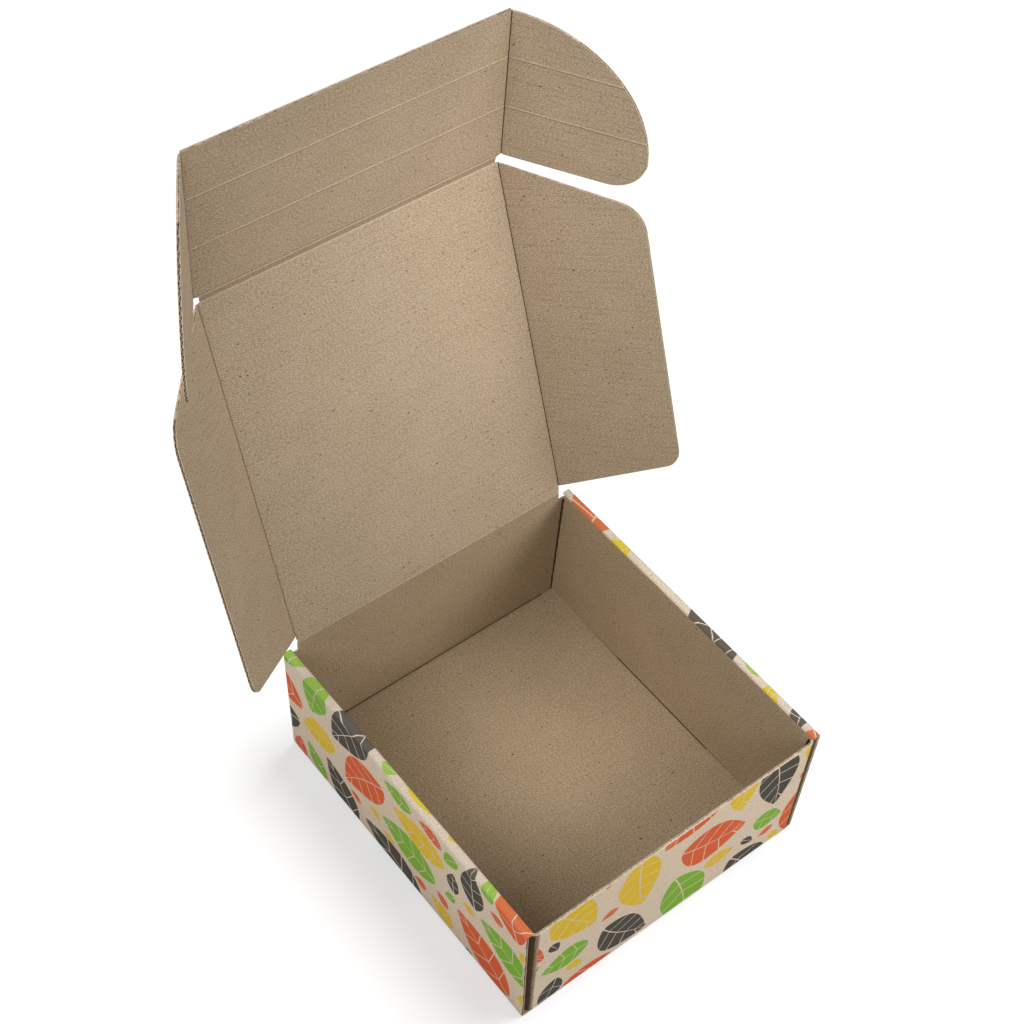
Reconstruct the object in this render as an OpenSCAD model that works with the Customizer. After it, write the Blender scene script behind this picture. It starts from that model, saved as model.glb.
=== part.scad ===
// Corrugated mailer box, cut and folded from one sheet, with its lid open.
// The origin is the middle of the underside. +X is right, -Y is the front, +Z is up.

/* [Board] */
// Thickness of the corrugated board
board_t = 1.7; // [1.4:0.1:2]
// Thickness of each facing liner
liner_t = 0.25; // [0.15:0.05:0.35]
// Thickness of the wavy medium between the liners
medium_t = 0.25; // [0.15:0.05:0.35]
// Distance from one flute to the next
flute_pitch = 3.4; // [3:0.1:5]

/* [Tray] */
// Outside width of the tray at its foot
tray_w = 200; // [160:1:260]
// Outside depth of the tray
tray_d = 218.6; // [180:0.2:280]
// Height of the side walls up to their rolled rims
side_h = 93.8; // [75:0.2:120]
// How far the front wall stays below the rims
front_drop = 4.8; // [3.6:0.2:12]
// How far each side wall leans out at its rim
side_lean = 3; // [0:0.2:4]
// Depth of the corner flaps inside the side walls
corner_flap_l = 66; // [30:1:80]
// Outside radius of the upright corner bends
corner_r = 3.6; // [2.6:0.1:4.5]
// Length of the lock tab at the foot of each inner side panel
lock_tab_l = 84; // [40:1:120]

/* [Lid] */
// Height of the lid's crease above the rims
hinge_rise = 3.8; // [2.4:0.1:6]
// How far the lid is open, where 0 is closed
lid_open = 110.3; // [90:0.1:150]
// Width of the lid's side wings
wing_w = 81; // [50:0.5:84]
// How much each end of a wing tapers towards its outer edge
wing_taper = 25; // [5:1:40]
// Corner radius of a wing near the tuck flap
wing_far_r = 18; // [5:1:25]
// Corner radius of a wing near the lid's crease
wing_near_r = 12; // [5:1:25]
// Fold of the left wing out of the lid's plane
wing_fold_left = 47.6; // [0:0.1:90]
// Fold of the right wing out of the lid's plane
wing_fold_right = 61.8; // [0:0.1:90]

/* [Tuck flap] */
// Length of the tuck flap from the lid's front crease
tuck_l = 98.2; // [60:0.2:110]
// Distance between the two creases at the foot of the tuck flap
crease_gap = 4.4; // [3:0.2:8]
// Fold of the tuck flap out of the lid's plane
tuck_fold = 21.8; // [0:0.1:40]
// Width of each ear
ear_w = 80; // [40:0.5:84]
// Height of the middle of the ear's curved top above its lower edge
ear_shoulder = 17.5; // [10:0.5:30]
// Radius of the ear's lower outer corner
ear_corner_r = 21; // [5:1:28]
// Fold of the left ear out of the tuck flap's plane
ear_fold_left = 56.6; // [0:0.1:90]
// Fold of the right ear out of the tuck flap's plane
ear_fold_right = 57.4; // [0:0.1:90]
// Heights of the two score lines above the foot of the tuck flap
score_low = 37.2; // [20:0.2:45]
score_high = 69; // [50:0.5:85]

/* [Fits] */
// Gap that lets a folded panel turn beside the next one
fold_gap = 0.3; // [0.2:0.05:0.4]
// Play between panels that slide past each other
slide_play = 0.2; // [0.15:0.05:0.4]
// Play on each face of a corner flap, between the two layers of a side wall
flap_play = 0.25; // [0.2:0.05:0.8]

/* [Hidden] */

kraft = [0.66, 0.56, 0.44];
kraft_lit = [0.72, 0.62, 0.50];

// Creased folds are crushed: nearly sharp inside and a small radius outside
crease_in_r = 0.3;
crease_out_r = 1.2;
round_steps = 6;

half_t = board_t / 2;
lean = atan(side_lean / side_h);
// Width of the board when a leaning wall is cut level
level_t = board_t / cos(lean);
front_h = side_h - front_drop;

// Side panels stop just short of the front and back faces
panel_setback = 0.6;
panel_half_d = tray_d / 2 - panel_setback;
inner_half_d = tray_d / 2 - board_t - fold_gap;
wall_mid_y = tray_d / 2 - half_t;

// Where each of the three layers of a side wall stands on the tray's foot
layer_step = level_t + flap_play;
rim_w = 3 * level_t + 2 * flap_play;
outer_mid_x = tray_w / 2 - level_t / 2;
flap_mid_x = outer_mid_x - layer_step;
inner_mid_x = flap_mid_x - layer_step;
plate_half_w = flap_mid_x + half_t - corner_r;

// The crushed upright bends lie a little behind the faces of the walls
bend_sink = 0.1;

// Folded wings and ears pass down between the rims, ears outside the wings
clear_half_w = tray_w / 2 + side_lean - rim_w;
ear_axis_x = clear_half_w - half_t - slide_play;
wing_axis_x = ear_axis_x - board_t - slide_play;
hinge_z = side_h + hinge_rise;
lid_l = tray_d - 2 * board_t - slide_play;

// The edge of a fixed panel stops this far from a fold's axis
edge_back = half_t + fold_gap;
relief_r = crease_gap / 2;
lid_half_w = wing_axis_x - edge_back;
tuck_half_w = ear_axis_x - edge_back;
wing_start = hinge_rise;
wing_end = lid_l - edge_back;
ear_top = tuck_l - crease_gap;

// Flutes stay closed along a crease
flute_start = 2;
void_h = board_t - 2 * liner_t - medium_t;
void_tip = 0.2;
void_foot = flute_pitch / 2 - void_tip - medium_t * sqrt(2);

// Score lines stand out less than the play, so that ears still pass the wings
bead_w = 1.2;
bead_h = slide_play / 2;
far = 400;

function unit(v) = v / norm(v);
function left_of(v) = [-v[1], v[0]];

// One corner of a polygon, given as x, y and radius, as the points of its arc
function arc_at(before, here, after) =
    let (
        p = [here[0], here[1]],
        to_a = unit([before[0], before[1]] - p),
        to_b = unit([after[0], after[1]] - p),
        half = acos(to_a * to_b) / 2,
        reach = here[2] / tan(half),
        centre = p + unit(to_a + to_b) * here[2] / sin(half),
        from = p + to_a * reach - centre,
        sweep = (180 - 2 * half) * (cross(to_a, to_b) < 0 ? 1 : -1)
    )
    here[2] == 0 ? [p] :
    [for (k = [0:round_steps]) centre + turned(from, sweep * k / round_steps)];

function turned(v, a) = [v[0] * cos(a) - v[1] * sin(a), v[0] * sin(a) + v[1] * cos(a)];

// A polygon whose corners are x, y and radius, with the corners rounded
function rounded(corners) =
    let (n = len(corners))
    [for (i = [0:n - 1])
        each arc_at(corners[(i + n - 1) % n], corners[i], corners[(i + 1) % n])];

// The point beside corner i of a line, at a distance d to its left
function beside(line, i, d) =
    let (
        before = i == 0 ? line[1] - line[0] : line[i] - line[i - 1],
        after = i == len(line) - 1 ? before : line[i + 1] - line[i],
        a = left_of(unit(before)),
        b = left_of(unit(after))
    )
    line[i] + (a + b) * d / (1 + a * b);

// Radius on one side of a bend: the left side is inside where the line turns left
function bend_r(line, i, left, r_in, r_out) =
    i == 0 || i == len(line) - 1 ? 0 :
    (cross(line[i] - line[i - 1], line[i + 1] - line[i]) > 0) == left ? r_in : r_out;

// Section of a board whose middle follows a line with sharp corners
function board_section(line, r_in = crease_in_r, r_out = crease_out_r) =
    let (n = len(line))
    rounded(concat(
        [for (i = [0:n - 1])
            let (p = beside(line, i, half_t))
            [p[0], p[1], bend_r(line, i, true, r_in, r_out)]],
        [for (i = [n - 1:-1:0])
            let (p = beside(line, i, -half_t))
            [p[0], p[1], bend_r(line, i, false, r_in, r_out)]]
    ));

// How far out a leaning layer stands at height z
function leaned(x, z) = x + z * tan(lean);

module along_y(half_l) {
    translate([0, half_l, 0]) rotate([90, 0, 0]) linear_extrude(2 * half_l) children();
}

module along_x(half_l) {
    translate([-half_l, 0, 0]) rotate([90, 0, 90]) linear_extrude(2 * half_l) children();
}

module both_sides() {
    children();
    mirror([1, 0, 0]) children();
}

// Outer panel, rolled rim and inner panel of the right side wall
module side_wall() {
    rim_z = side_h - half_t;
    fold_top = front_h + fold_gap;
    difference() {
        along_y(panel_half_d) polygon(board_section([
            [plate_half_w - 1, half_t],
            [leaned(outer_mid_x, half_t), half_t],
            [leaned(outer_mid_x, rim_z), rim_z],
            [leaned(inner_mid_x, rim_z), rim_z],
            [leaned(inner_mid_x, board_t + slide_play), board_t + slide_play]
        ]));
        // The inner panel is shorter, and the corner bends pass below the rim
        for (side = [-1, 1])
            translate([inner_mid_x - board_t, side * (inner_half_d + far / 2), 0])
                inner_end_cut(fold_top);
        lock_slot();
    }
    intersection() {
        lean_frame(inner_mid_x) translate([-half_t, -lock_tab_l / 2, -board_t])
            cube([board_t, lock_tab_l, 4 * board_t]);
        translate([0, -far / 2, slide_play]) cube([far, far, 3 * board_t]);
    }
}

module inner_end_cut(top) {
    translate([0, 0, board_t + slide_play / 2])
        along_y(far / 2) polygon([
            [0, 0],
            [outer_mid_x - inner_mid_x + half_t - fold_gap / 2, 0],
            [leaned(outer_mid_x - inner_mid_x + half_t - fold_gap / 2, top), top - board_t],
            [0, top - board_t]
        ]);
}

// Slot in the bottom that takes the lock tab
module lock_slot() {
    play = half_t + slide_play;
    lean_frame(inner_mid_x) translate([-play, -lock_tab_l / 2 - slide_play, -board_t])
        cube([2 * play, lock_tab_l + 2 * slide_play, 2 * board_t + slide_play / 2]);
}

// Frame that leans with a side wall, with its origin on the foot
module lean_frame(x) {
    translate([x, 0, 0]) rotate([0, lean, 0]) children();
}

// Upright bend and corner flap at the front right corner
module front_corner() {
    y = -wall_mid_y + bend_sink;
    foot_z = board_t + slide_play;
    intersection() {
        lean_frame(flap_mid_x) translate([0, 0, -board_t])
            linear_extrude(side_h) polygon(board_section([
                [-corner_r - side_lean - 2, y],
                [0, y],
                [0, y + corner_flap_l]
            ], corner_r - board_t, corner_r));
        translate([0, -far / 2, foot_z]) cube([far, far, front_h - foot_z]);
    }
}

// Bottom, front wall and back wall, up to the foot of the lid's crease
module middle_panels() {
    along_x(plate_half_w) polygon(board_section([
        [-wall_mid_y, front_h],
        [-wall_mid_y, half_t],
        [wall_mid_y, half_t],
        [wall_mid_y, side_h]
    ]));
    // The back wall rises between the rims and narrows at the crease
    translate([0, wall_mid_y + half_t, 0]) rotate([90, 0, 0]) linear_extrude(board_t)
        polygon(rounded([
            [-lid_half_w, front_h, 0],
            [lid_half_w, front_h, 0],
            [lid_half_w, hinge_z - edge_back, relief_r / 2],
            [-lid_half_w, hinge_z - edge_back, relief_r / 2]
        ]));
}

module tray() {
    color(kraft) {
        difference() {
            union() {
                middle_panels();
                both_sides() {
                    front_corner();
                    mirror([0, 1, 0]) front_corner();
                }
            }
            both_sides() lock_slot();
        }
        both_sides() side_wall();
    }
}

// Frame of the lid: y runs out along the lid, z points to its inner face
module lid_frame() {
    translate([0, wall_mid_y, hinge_z]) rotate([180 - lid_open, 0, 0]) children();
}

module tuck_frame() {
    lid_frame() translate([0, lid_l, 0]) rotate([tuck_fold, 0, 0]) children();
}

// Frame of a folded flap: x runs out from its crease, y along the crease
module right_flap_frame(axis_x, fold) {
    translate([axis_x, 0, 0]) rotate([0, -fold, 0]) children();
}

module left_flap_frame(axis_x, fold) {
    mirror([1, 0, 0]) right_flap_frame(axis_x, fold) children();
}

module flat_board(corners) {
    translate([0, 0, -half_t]) linear_extrude(board_t) polygon(rounded(corners));
}

// Rounded edge on a fold's axis, from y0 to y1
module round_edge_y(y0, y1) {
    translate([0, y1, 0]) rotate([90, 0, 0]) cylinder(h = y1 - y0, r = half_t, $fn = 32);
}

// Panel across the box, from a rounded edge on its fold's axis to a cut edge
module panel_x(half_l, l) {
    along_x(half_l) {
        circle(r = half_t, $fn = 32);
        translate([0, -half_t]) square([l, board_t]);
    }
}

// Raised line that a score leaves on the inner face
module bead(x0, x1, y) {
    translate([x0, y, half_t]) rotate([90, 0, 90]) linear_extrude(x1 - x0)
        polygon([[-bead_w / 2, -bead_h], [bead_w / 2, -bead_h], [bead_w / 6, bead_h], [-bead_w / 6, bead_h]]);
}

// Channels between the liners and the medium, open at the cut edges
module flutes(y0, y1) {
    low = -half_t + liner_t;
    first = ceil(y0 / flute_pitch * 2);
    last = floor(y1 / flute_pitch * 2);
    translate([flute_start, 0, 0]) rotate([90, 0, 90]) linear_extrude(far)
        for (k = [first:last]) {
            up = k % 2 == 0 ? 1 : -1;
            translate([k * flute_pitch / 2, 0]) polygon([
                [-void_foot, up * low],
                [void_foot, up * low],
                [void_tip, up * (low + void_h)],
                [-void_tip, up * (low + void_h)]
            ]);
        }
}

module lid() {
    color(kraft_lit) lid_frame() panel_x(lid_half_w, lid_l - edge_back);
}

module wing() {
    difference() {
        flat_board([
            [0, wing_start, 0],
            [wing_w, wing_start + wing_taper, wing_near_r],
            [wing_w, wing_end - wing_taper, wing_far_r],
            [0, wing_end, 0]
        ]);
        flutes(wing_start, wing_end);
    }
    round_edge_y(wing_start, wing_end);
}

module wing_left() {
    color(kraft) lid_frame() left_flap_frame(wing_axis_x, wing_fold_left) wing();
}

module wing_right() {
    color(kraft) lid_frame() right_flap_frame(wing_axis_x, wing_fold_right) wing();
}

module tuck_flap() {
    neck_half_w = wing_axis_x - relief_r;
    color(kraft_lit) tuck_frame() {
        difference() {
            panel_x(tuck_half_w, tuck_l);
            both_sides() translate([0, 0, -board_t]) linear_extrude(2 * board_t)
                polygon(rounded([
                    [neck_half_w, -board_t, 0],
                    [tuck_half_w + board_t, -board_t, 0],
                    [tuck_half_w + board_t, crease_gap, 0],
                    [neck_half_w, crease_gap, relief_r]
                ]));
        }
        bead(-neck_half_w, neck_half_w, crease_gap + bead_w / 2);
        bead(-tuck_half_w, tuck_half_w, score_low);
        bead(-tuck_half_w, tuck_half_w, score_high);
    }
}

// Outline of an ear: straight lower edge, round lower corner, quarter ellipse on top
function ear_outline() =
    let (
        foot = crease_gap,
        shoulder = foot + ear_shoulder,
        rise = tuck_l - shoulder,
        steps = 24,
        corner = arc_at([0, foot], [ear_w, foot, ear_corner_r], [ear_w, shoulder + rise])
    )
    concat(
        [[0, foot]],
        [for (p = corner) if (p[1] <= shoulder) p],
        [for (k = [0:steps]) [ear_w * cos(90 * k / steps), shoulder + rise * sin(90 * k / steps)]]
    );

module ear() {
    difference() {
        translate([0, 0, -half_t]) linear_extrude(board_t) polygon(ear_outline());
        flutes(crease_gap, tuck_l);
    }
    intersection() {
        union() {
            bead(0, far, score_low);
            bead(0, far, score_high);
        }
        translate([0, 0, -half_t]) linear_extrude(2 * board_t) polygon(ear_outline());
    }
    round_edge_y(crease_gap, tuck_l);
}

module ear_left() {
    color(kraft) tuck_frame() left_flap_frame(ear_axis_x, ear_fold_left) ear();
}

module ear_right() {
    color(kraft) tuck_frame() right_flap_frame(ear_axis_x, ear_fold_right) ear();
}

tray();
lid();
wing_left();
wing_right();
tuck_flap();
ear_left();
ear_right();
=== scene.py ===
import math
import random
from collections import namedtuple

import bmesh
import bpy
import numpy as np
from mathutils import Matrix
from mathutils.geometry import delaunay_2d_cdt


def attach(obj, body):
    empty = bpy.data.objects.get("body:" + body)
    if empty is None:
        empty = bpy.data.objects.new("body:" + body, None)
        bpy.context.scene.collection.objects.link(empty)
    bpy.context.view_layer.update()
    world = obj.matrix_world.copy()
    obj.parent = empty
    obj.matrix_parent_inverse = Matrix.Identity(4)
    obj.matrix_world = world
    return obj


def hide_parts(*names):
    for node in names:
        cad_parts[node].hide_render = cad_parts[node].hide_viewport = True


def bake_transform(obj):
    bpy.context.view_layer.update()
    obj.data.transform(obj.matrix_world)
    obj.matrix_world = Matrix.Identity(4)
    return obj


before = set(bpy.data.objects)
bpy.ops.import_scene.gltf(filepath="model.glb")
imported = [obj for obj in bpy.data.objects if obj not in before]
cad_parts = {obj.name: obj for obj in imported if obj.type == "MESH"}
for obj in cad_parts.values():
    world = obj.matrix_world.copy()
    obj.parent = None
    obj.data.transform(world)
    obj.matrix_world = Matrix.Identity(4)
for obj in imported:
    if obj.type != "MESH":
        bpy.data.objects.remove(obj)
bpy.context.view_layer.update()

# Sizes in millimetres, as in the part's source
T = 1.7
LINER = 0.25
MEDIUM = 0.28
PITCH = 3.4
TRAY_W = 200.0
TRAY_D = 218.6
SIDE_H = 93.8
FRONT_DROP = 4.8
SIDE_LEAN = 3.0
FLAP_PLAY = 0.25
CORNER_FLAP_L = 66.0
LOCK_TAB_L = 84.0
HINGE_RISE = 3.8
LID_OPEN = math.radians(110.3)
WING_W = 81.0
WING_TAPER = 25.0
WING_FAR_R = 18.0
WING_NEAR_R = 12.0
WING_FOLD_L = math.radians(47.6)
WING_FOLD_R = math.radians(61.8)
TUCK_L = 98.2
CREASE_GAP = 4.4
TUCK_FOLD = math.radians(21.8)
EAR_W = 80.0
EAR_SHOULDER = 17.5
EAR_CORNER_R = 21.0
EAR_FOLD_L = math.radians(56.6)
EAR_FOLD_R = math.radians(57.4)
SCORE_LOW = 37.2
SCORE_HIGH = 69.0
SLIDE_PLAY = 0.2

HALF = T / 2
LEAN = math.atan(SIDE_LEAN / SIDE_H)
LEVEL_T = T / math.cos(LEAN)
FRONT_H = SIDE_H - FRONT_DROP
WALL_Y = TRAY_D / 2 - HALF
OUTER_X = TRAY_W / 2 - LEVEL_T / 2
FLAP_X = OUTER_X - LEVEL_T - FLAP_PLAY
INNER_X = FLAP_X - LEVEL_T - FLAP_PLAY
PANEL_HALF_D = TRAY_D / 2 - 0.6
INNER_HALF_D = TRAY_D / 2 - T - 0.3
EAR_X = TRAY_W / 2 + SIDE_LEAN - 3 * LEVEL_T - 2 * FLAP_PLAY - HALF - SLIDE_PLAY
WING_X = EAR_X - T - SLIDE_PLAY
HINGE_Z = SIDE_H + HINGE_RISE
LID_L = TRAY_D - 2 * T - SLIDE_PLAY
EDGE_BACK = HALF + 0.3
RELIEF_R = CREASE_GAP / 2

# How far from a fold's axis the flat panels end: U for upright folds, V for the lid's and tuck's
U_END = 0.75
V_END = 0.9

# How the board thins at a fold, and the groove that its inner facing sinks into
CRUSH = 0.26
CRUSH_W = 1.3
GROOVE_W = 0.42
GROOVE_DEPTH = 0.72

# The ridge of a score: its height, and half the width of its pale top (painted highlight), its foot and the
# painted shade beside it
RIDGE_H = 0.22
RIDGE_TOP = 0.45
RIDGE_FOOT = 0.7
RIDGE_SIDE = 1.0

# Distances from a fold at which the mesh has lines, because the board thins there
NEAR = (0.7, 1.4, 2.2, 3.2)

# The sheet's own flat coordinates: U across, V from front to back, in millimetres
V_LID = WALL_Y + HINGE_Z
V_TUCK = V_LID + LID_L
V_TOP = V_TUCK + TUCK_L

rng = random.Random(34)


def srgb(r, g, b):
    """A colour written from 0 to 255, as the linear colour that the shaders take."""
    def linear(c):
        c /= 255
        return c / 12.92 if c <= 0.04045 else ((c + 0.055) / 1.055) ** 2.4
    return (linear(r), linear(g), linear(b), 1.0)


def unit(v):
    return v / np.linalg.norm(v)


# A stretch of a folded line. turn and r are None where it is straight.
Stretch = namedtuple("Stretch", "start end origin along turn r")


class Path:
    """A folded line in one plane: straight stretches joined by small arcs, measured along its middle."""

    def __init__(self, points, radii, start):
        self.seg = []
        self.start = self.end = start
        pts = [np.array(p, float) for p in points]
        here = pts[0]
        for i in range(1, len(pts) - 1):
            a = unit(pts[i] - pts[i - 1])
            b = unit(pts[i + 1] - pts[i])
            turn = math.atan2(a[0] * b[1] - a[1] * b[0], float(a @ b))
            cut = radii[i] * math.tan(abs(turn) / 2)
            end = pts[i] - a * cut
            self.grow(float(np.linalg.norm(end - here)), here, a)
            self.grow(radii[i] * abs(turn), end, a, turn, radii[i])
            here = pts[i] + b * cut
        last = pts[-1] - here
        self.grow(float(np.linalg.norm(last)), here, unit(last))
        self.arcs = [g for g in self.seg if g.turn]

    def grow(self, length, origin, along, turn=None, r=None):
        self.seg.append(Stretch(self.end, self.end + length, origin, along, turn, r))
        self.end += length

    def marks(self, steps):
        """Places of equal steps round each arc."""
        return [g.start + (g.end - g.start) * k / steps for g in self.arcs for k in range(steps + 1)]

    def at(self, s, w):
        """Point at distance s, moved by w to the left of the line."""
        s = np.asarray(s, float)
        p = np.zeros((len(s), 2))
        t = np.zeros((len(s), 2))
        for g in self.seg:
            lo = -1e9 if g is self.seg[0] else g.start
            hi = 1e9 if g is self.seg[-1] else g.end
            m = (s >= lo) & (s <= hi)
            if not m.any():
                continue
            d = s[m] - g.start
            if g.turn is None:
                p[m] = g.origin + d[:, None] * g.along
                t[m] = g.along
            else:
                way = np.sign(g.turn)
                angle = way * d / g.r
                left = np.array([-g.along[1], g.along[0]])
                rise = np.outer(way * g.r * (1 - np.cos(angle)), left)
                p[m] = g.origin + np.outer(g.r * np.sin(np.abs(angle)), g.along) + rise
                t[m] = np.outer(np.cos(angle), g.along) + np.outer(np.sin(angle), left)
        return p + np.asarray(w)[:, None] * np.stack([-t[:, 1], t[:, 0]], 1)


# The side walls' folded line: bottom, outer panel, rolled rim, inner panel
MID_U = 88.0
BEND_R = 1.05
RIM_R = 1.0
RIM_Z = SIDE_H - HALF
FOOT_Z = T + 0.2
TAB_Z = 0.4


def leaning(x, z):
    """Where the side wall's line stands at height z, if it meets the ground at x."""
    return x + z * math.tan(LEAN)


side_points = [(MID_U, HALF), (leaning(OUTER_X, HALF), HALF), (leaning(OUTER_X, RIM_Z), RIM_Z),
               (leaning(INNER_X, RIM_Z), RIM_Z), (leaning(INNER_X, TAB_Z), TAB_Z)]
side_path = Path(side_points, [0, BEND_R, RIM_R, RIM_R, 0], MID_U)
U_RIM0, U_RIM1 = side_path.arcs[1].start, side_path.arcs[2].end
U_FOOT = side_path.end - (FOOT_Z - TAB_Z) / math.cos(LEAN)


# Node helpers for the materials
class Nodes:
    def __init__(self, mat):
        self.tree = mat.node_tree
        self.tree.nodes.clear()

    def add(self, kind, sockets=()):
        """A shader node of this kind, with inputs set or linked, by their numbers or names."""
        n = self.tree.nodes.new("ShaderNode" + kind)
        for key in sockets:
            self.put(n.inputs[key], sockets[key])
        return n

    def put(self, socket, value):
        if isinstance(value, bpy.types.NodeSocket):
            self.tree.links.new(value, socket)
        elif value is not None:
            socket.default_value = value

    def math(self, op, a, b=None, c=None):
        n = self.add("Math")
        n.operation = op
        for i, v in enumerate((a, b, c)):
            self.put(n.inputs[i], v)
        return n.outputs[0]

    def times(self, a, b):
        return self.math("MULTIPLY", a, b)

    def plus(self, a, b):
        return self.math("ADD", a, b)

    def scaled(self, vector, scale):
        return self.add("Mapping", {0: vector, 3: scale}).outputs[0]

    def noise(self, vector, scale, detail=2.0, rough=0.5):
        sockets = {"Vector": vector, "Scale": scale, "Detail": detail, "Roughness": rough}
        return self.add("TexNoise", sockets).outputs[0]

    def sheet(self):
        """The place in the flat sheet, in millimetres."""
        n = self.add("UVMap")
        n.uv_map = "UVMap"
        return self.scaled(n.outputs[0], (1000, 1000, 1000))

    def grain(self, mm, across, along, detail=2.0, rough=0.5):
        """Noise that is stretched over the flat sheet."""
        return self.noise(self.scaled(mm, (across, along, 1)), 1.0, detail, rough)

    def ramp(self, value, low, high, to_low=0.0, to_high=1.0):
        n = self.add("MapRange", {0: value, 1: low, 2: high, 3: to_low, 4: to_high})
        n.interpolation_type = "SMOOTHSTEP"
        return n.outputs[0]

    def mix(self, factor, a, b, blend="MIX"):
        n = self.add("Mix")
        n.data_type = "RGBA"
        n.blend_type = blend
        self.put(n.inputs[0], factor)
        self.put(n.inputs[6], a)
        self.put(n.inputs[7], b)
        return n.outputs[2]


def new_material(name):
    mat = bpy.data.materials.new(name)
    mat.use_nodes = True
    return mat, Nodes(mat)


# The materials of the sheet. A face chooses one by its number here, which paper and torn return.
MATS = []


def listed(mat):
    MATS.append(mat)
    return len(MATS) - 1


def surface(k, colour, rough, specular, height, strength, distance):
    """Ends a material: its colour, its gloss and the relief of its height field."""
    bump = k.add("Bump", {"Strength": strength, "Distance": distance, "Height": height})
    sockets = {"Base Color": colour, "Roughness": rough, "Specular IOR Level": specular,
               "Normal": bump.outputs[0]}
    k.add("OutputMaterial", {0: k.add("BsdfPrincipled", sockets).outputs[0]})


def paper_fields(k):
    """Fields of the paper in the flat sheet's millimetres: fibres, flecks, mottling, flute lines."""
    mm = k.sheet()
    fine = k.grain(mm, 2.1, 2.5, 2.0, 0.75)
    fibre = k.grain(mm, 0.8, 1.4, 2.0, 0.75)
    flecks = k.noise(k.scaled(mm, (0.9, 1.0, 1)), 1.35, 1.0, 0.5)
    cloud = k.noise(mm, 0.028, 3.0, 0.55)
    split = k.add("SeparateXYZ", {0: mm})
    wobble = k.math("MULTIPLY_ADD", k.grain(mm, 0.02, 0.05, 1.0), 0.5, split.outputs[1])
    wave = k.ramp(k.math("SINE", k.times(wobble, 2 * math.pi / PITCH)), -0.2, 1.0)
    return mm, fine, fibre, flecks, cloud, wave


def paper(name, dark, base, light, flute_shade=0.0, speck=1.0, rough=0.86, fleck_dark=(84, 60, 36), rim_sheen=None):
    """Board facing over flutes. flute_shade is how strongly the flutes show, in the bump and as painted
    shade in the colour, and rim_sheen the base on the rims, a painted sheen.
    """
    mat, k = new_material(name)
    mm, fine, fibre, flecks, cloud, wave = paper_fields(k)
    tone = k.plus(k.times(fine, 0.62), k.times(fibre, 0.38))
    tone = k.plus(tone, k.times(k.math("SUBTRACT", cloud, 0.5), 0.035))
    patchy = k.ramp(k.grain(mm, 0.05, 0.32), 0.38, 0.66)
    # Painted shade: stripes along the flutes darken the colour, besides raising the bump below.
    tone = k.math("SUBTRACT", tone, k.times(k.times(wave, patchy), flute_shade))
    ramp = k.add("ValToRGB", {0: tone})
    el = ramp.color_ramp.elements
    el[0].position, el[0].color = 0.415, srgb(*dark)
    el[1].position, el[1].color = 0.585, srgb(*light)
    mid = el.new(0.50)
    mid.color = srgb(*base)
    spots = k.times(k.ramp(flecks, 0.30, 0.22), 0.55 * speck)
    colour = k.mix(spots, ramp.outputs[0], srgb(*fleck_dark))
    dots = k.grain(mm, 0.5, 0.8, 0.0)
    sparse = k.times(k.ramp(dots, 0.205, 0.187), 0.9 * speck)
    colour = k.mix(sparse, colour, srgb(*[c * 0.55 for c in fleck_dark]))
    pale = k.times(k.ramp(flecks, 0.70, 0.75), 0.45 * speck)
    colour = k.mix(pale, colour, srgb(*[min(255, c + 18) for c in light]))
    # Painted sheen: on the rolled rims a paler base is added to the colour.
    if rim_sheen:
        across = k.math("ABSOLUTE", k.add("SeparateXYZ", {0: mm}).outputs[0])
        there = k.ramp(across, U_RIM0 - 1.2, U_RIM0 + 0.4)
        lift = tuple(a - b for a, b in zip(srgb(*rim_sheen)[:3], srgb(*base)[:3])) + (1.0,)
        colour = k.mix(there, colour, lift, "ADD")
    height = k.plus(k.times(fine, 0.035), k.times(fibre, 0.02))
    flutes = k.times(wave, k.math("MULTIPLY_ADD", patchy, 0.6, 0.4))
    height = k.plus(height, k.times(flutes, flute_shade * -0.25))
    surface(k, colour, k.ramp(fine, 0.2, 0.8, rough - 0.06, rough + 0.06), 0.22, height, 0.9, 0.001)
    return listed(mat)


def torn(name, dark, light):
    """Cut edge of the board along its flutes: broken layers of the wavy paper between the facings, with a
    light tone that is partly painted highlight.
    """
    mat, k = new_material(name)
    mm = k.sheet()
    place = k.add("TexCoord").outputs["Object"]
    pos = k.scaled(place, (1000, 1000, 1000))
    long = k.grain(mm, 0.16, 0.16)
    grain = k.noise(pos, 1.6, 3.0, 0.7)
    tone = k.plus(k.times(long, 0.6), k.times(grain, 0.4))
    colour = k.mix(k.ramp(tone, 0.42, 0.62), srgb(*dark), srgb(*light))
    surface(k, colour, 0.95, 0.15, grain, 0.8, 0.0003)
    return listed(mat)


def ink(name, dark, base, light, fleck, rim_sheen, speck=0.25):
    """Printed paper: its base on the walls, and rim_sheen the paler tone that shows on the rolled rims, a
    painted sheen.
    """
    return paper(name, dark, base, light, flute_shade=0.01, speck=speck, rough=0.8, fleck_dark=fleck, rim_sheen=rim_sheen)


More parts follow.
